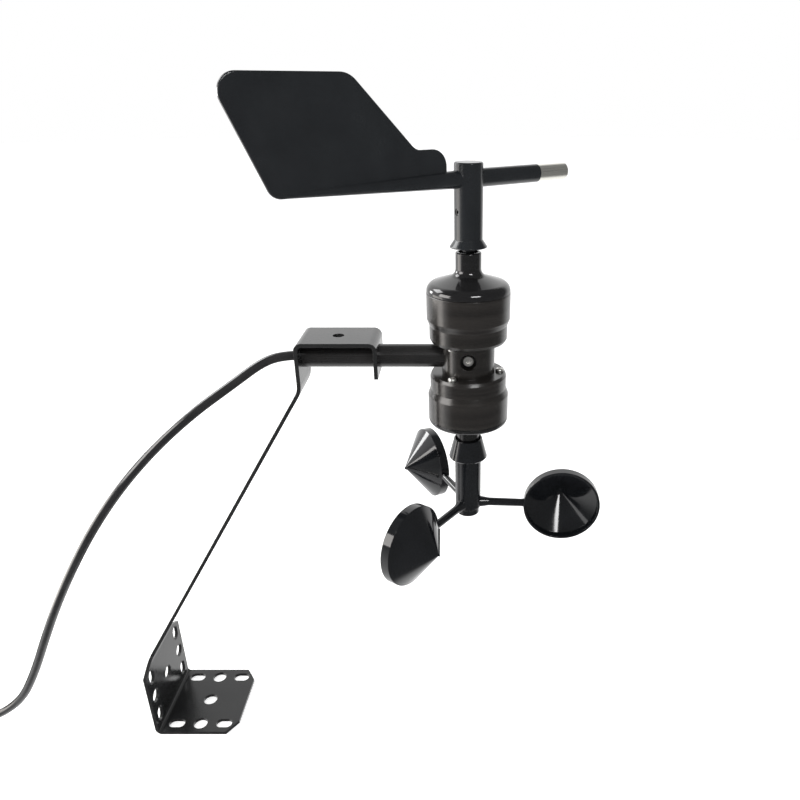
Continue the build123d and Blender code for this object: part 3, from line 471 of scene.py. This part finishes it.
def make_ferrule(name, start, end, material):
    """A crimped sleeve on a core's end: a short turned tube with a collar."""
    axis = (end - start).normalized()
    side = axis.orthogonal().normalized()
    grid = bmesh.new()
    rings = []
    for along, radius in FERRULE_PROFILE:
        centre = start + axis * along * MM
        ring = []
        for i in range(FERRULE_SIDES):
            spoke = Matrix.Rotation(2 * pi * i / FERRULE_SIDES, 3, axis) @ side
            ring.append(grid.verts.new(centre + spoke * radius * MM))
        rings.append(ring)
    for low, high in zip(rings, rings[1:]):
        for i in range(FERRULE_SIDES):
            j = (i + 1) % FERRULE_SIDES
            grid.faces.new((low[i], low[j], high[j], high[i]))
    grid.faces.new(rings[0][::-1])
    grid.faces.new(rings[-1])
    ferrule = add_mesh(name, grid)
    set_material(ferrule, material)
    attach(ferrule, STATIC)
    return ferrule


def make_cores(materials):
    pieces = []
    for index, (colour, value) in enumerate(CORE_COLOURS.items()):
        points = core_points(index)
        core = cord_curve(f"core_{colour}", points, CORE_RADIUS, sides=4)
        set_material(core, insulation(f"core_{colour}_insulation", value))
        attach(core, STATIC)
        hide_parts("lead_cores")
        tip = points[-1]
        crimp = tip - (tip - points[-2]).normalized() * FERRULE_OVERLAP * MM
        pieces += [core, make_ferrule(f"ferrule_{colour}", crimp, tip, materials["steel"])]
    return pieces


# ------------------------------------------------------------------ floor and light
FLOOR_RADIUS = 6.0
FLOOR_GLOW = 0.5

WALL_STRENGTH = 1.25
ROOM_STRENGTH = 0.18
ROOM_EDGE = (-0.17, 0.33)     # Y of a direction where the dark room ends, and where the full wall begins
ROOM_SLANT_X = -0.5           # how much a direction's X and Z count beside its Y
ROOM_SLANT_Z = -0.35
CEILING_SLANT = -0.4          # added to that of Z above the horizon

SUN_OFFSET = (-0.2, -0.3, 1.6)        # lamps stand at an offset from AXIS_POINT
SUN_SPREAD = radians(60)
SUN_STRENGTH = 1.0
WHITE = (1, 1, 1)
PANELS = [                    # name, offset, width, height, brightness of the face, colour
    ("window_left_low", (-0.75, 0.02, -0.2), 0.5, 0.36, 2.9, (1, 0.94, 0.88)),
    ("window_left_high", (-0.7, -0.28, 0.2), 0.45, 0.36, 7, (1, 0.97, 0.94)),
    ("window_front", (-0.74, -0.64, 0.04), 0.12, 0.14, 2.2, WHITE),
    ("window_rear", (-0.85, 0.48, 0.1), 0.2, 0.22, 12, WHITE),
    ("skylight", (-0.72, 0.3, 0.55), 0.45, 0.35, 7, WHITE),
    ("lamp_front", (0.3, -0.76, 0.55), 0.36, 0.16, 20, WHITE),
]


def make_floor():
    """Pale paper, which the object doesn't mirror."""
    grid = bmesh.new()
    bmesh.ops.create_circle(grid, cap_ends=True, segments=96, radius=FLOOR_RADIUS)
    floor = add_mesh("floor", grid)
    s = Shade("floor_paper", Specular_IOR_Level=0.1, Roughness=0.9, Emission_Strength=FLOOR_GLOW)
    s.shader.inputs["Emission Color"].default_value = (*WHITE, 1)
    s.colour(s.noise(4, 3), (0.90, 0.90, 0.90), (0.93, 0.93, 0.93))
    set_material(floor, s.material)
    floor.visible_glossy = False


def make_world():
    """White to the camera; in reflections, white walls behind and on the left and a dark room in front."""
    world = bpy.data.worlds.new("studio")
    scene.world = world
    world.use_nodes = True
    tree = world.node_tree
    tree.nodes.clear()

    def add(kind):
        return tree.nodes.new("ShaderNode" + kind)

    def calculate(operation, *values):
        """A Math node, fed by outputs and numbers."""
        node = add("Math")
        node.operation = operation
        for socket, value in zip(node.inputs, values):
            if isinstance(value, float):
                socket.default_value = value
            else:
                tree.links.new(value, socket)
        return node.outputs[0]

    direction = add("SeparateXYZ")
    tree.links.new(add("TexCoord").outputs["Generated"], direction.inputs[0])
    x, y, z = direction.outputs
    level = calculate("MULTIPLY_ADD", x, ROOM_SLANT_X, y)
    level = calculate("MULTIPLY_ADD", z, ROOM_SLANT_Z, level)
    level = calculate("MULTIPLY_ADD", calculate("MAXIMUM", z, 0.0), CEILING_SLANT, level)
    soft = add("MapRange")
    soft.interpolation_type = "SMOOTHSTEP"
    soft.inputs["From Min"].default_value, soft.inputs["From Max"].default_value = ROOM_EDGE
    soft.inputs["To Min"].default_value = ROOM_STRENGTH
    soft.inputs["To Max"].default_value = WALL_STRENGTH
    tree.links.new(level, soft.inputs["Value"])

    mirrored, seen, mix = add("Background"), add("Background"), add("MixShader")
    for background in (mirrored, seen):
        background.inputs["Color"].default_value = (*WHITE, 1)
    tree.links.new(soft.outputs["Result"], mirrored.inputs["Strength"])
    tree.links.new(add("LightPath").outputs["Is Camera Ray"], mix.inputs["Fac"])
    tree.links.new(mirrored.outputs[0], mix.inputs[1])
    tree.links.new(seen.outputs[0], mix.inputs[2])
    tree.links.new(mix.outputs[0], add("OutputWorld").inputs["Surface"])


def make_lamp(data, offset, energy, colour=WHITE):
    """Stand a lamp at an offset from the sensor's middle, and aim it there."""
    data.energy = energy
    data.color = colour
    lamp = bpy.data.objects.new(data.name, data)
    lamp.location = AXIS_POINT + Vector(offset)
    lamp.rotation_euler = (-Vector(offset)).to_track_quat("-Z", "Y").to_euler()
    scene.collection.objects.link(lamp)
    return lamp


def make_light():
    sun = bpy.data.lights.new("ceiling", "SUN")
    sun.angle = SUN_SPREAD
    make_lamp(sun, SUN_OFFSET, SUN_STRENGTH).visible_glossy = False
    for name, offset, width, height, brightness, colour in PANELS:
        panel = bpy.data.lights.new(name, "AREA")
        panel.shape = "RECTANGLE"
        panel.size, panel.size_y = width, height
        make_lamp(panel, offset, brightness * pi * width * height, colour)


# ------------------------------------------------------------------ the whole scene
make_camera()
materials = make_materials()
slots = {row["node"]: row["material_slot"] for row in frame["record"]["subparts"]}
for name, node in nodes.items():
    set_material(node, materials[slots[name]])
set_material(nodes["arm_tube"], tube_black())

lead = make_lead(materials)
cores = make_cores(materials)
curve_length(lead)
make_floor()
make_world()
make_light()

bpy.context.view_layer.update()
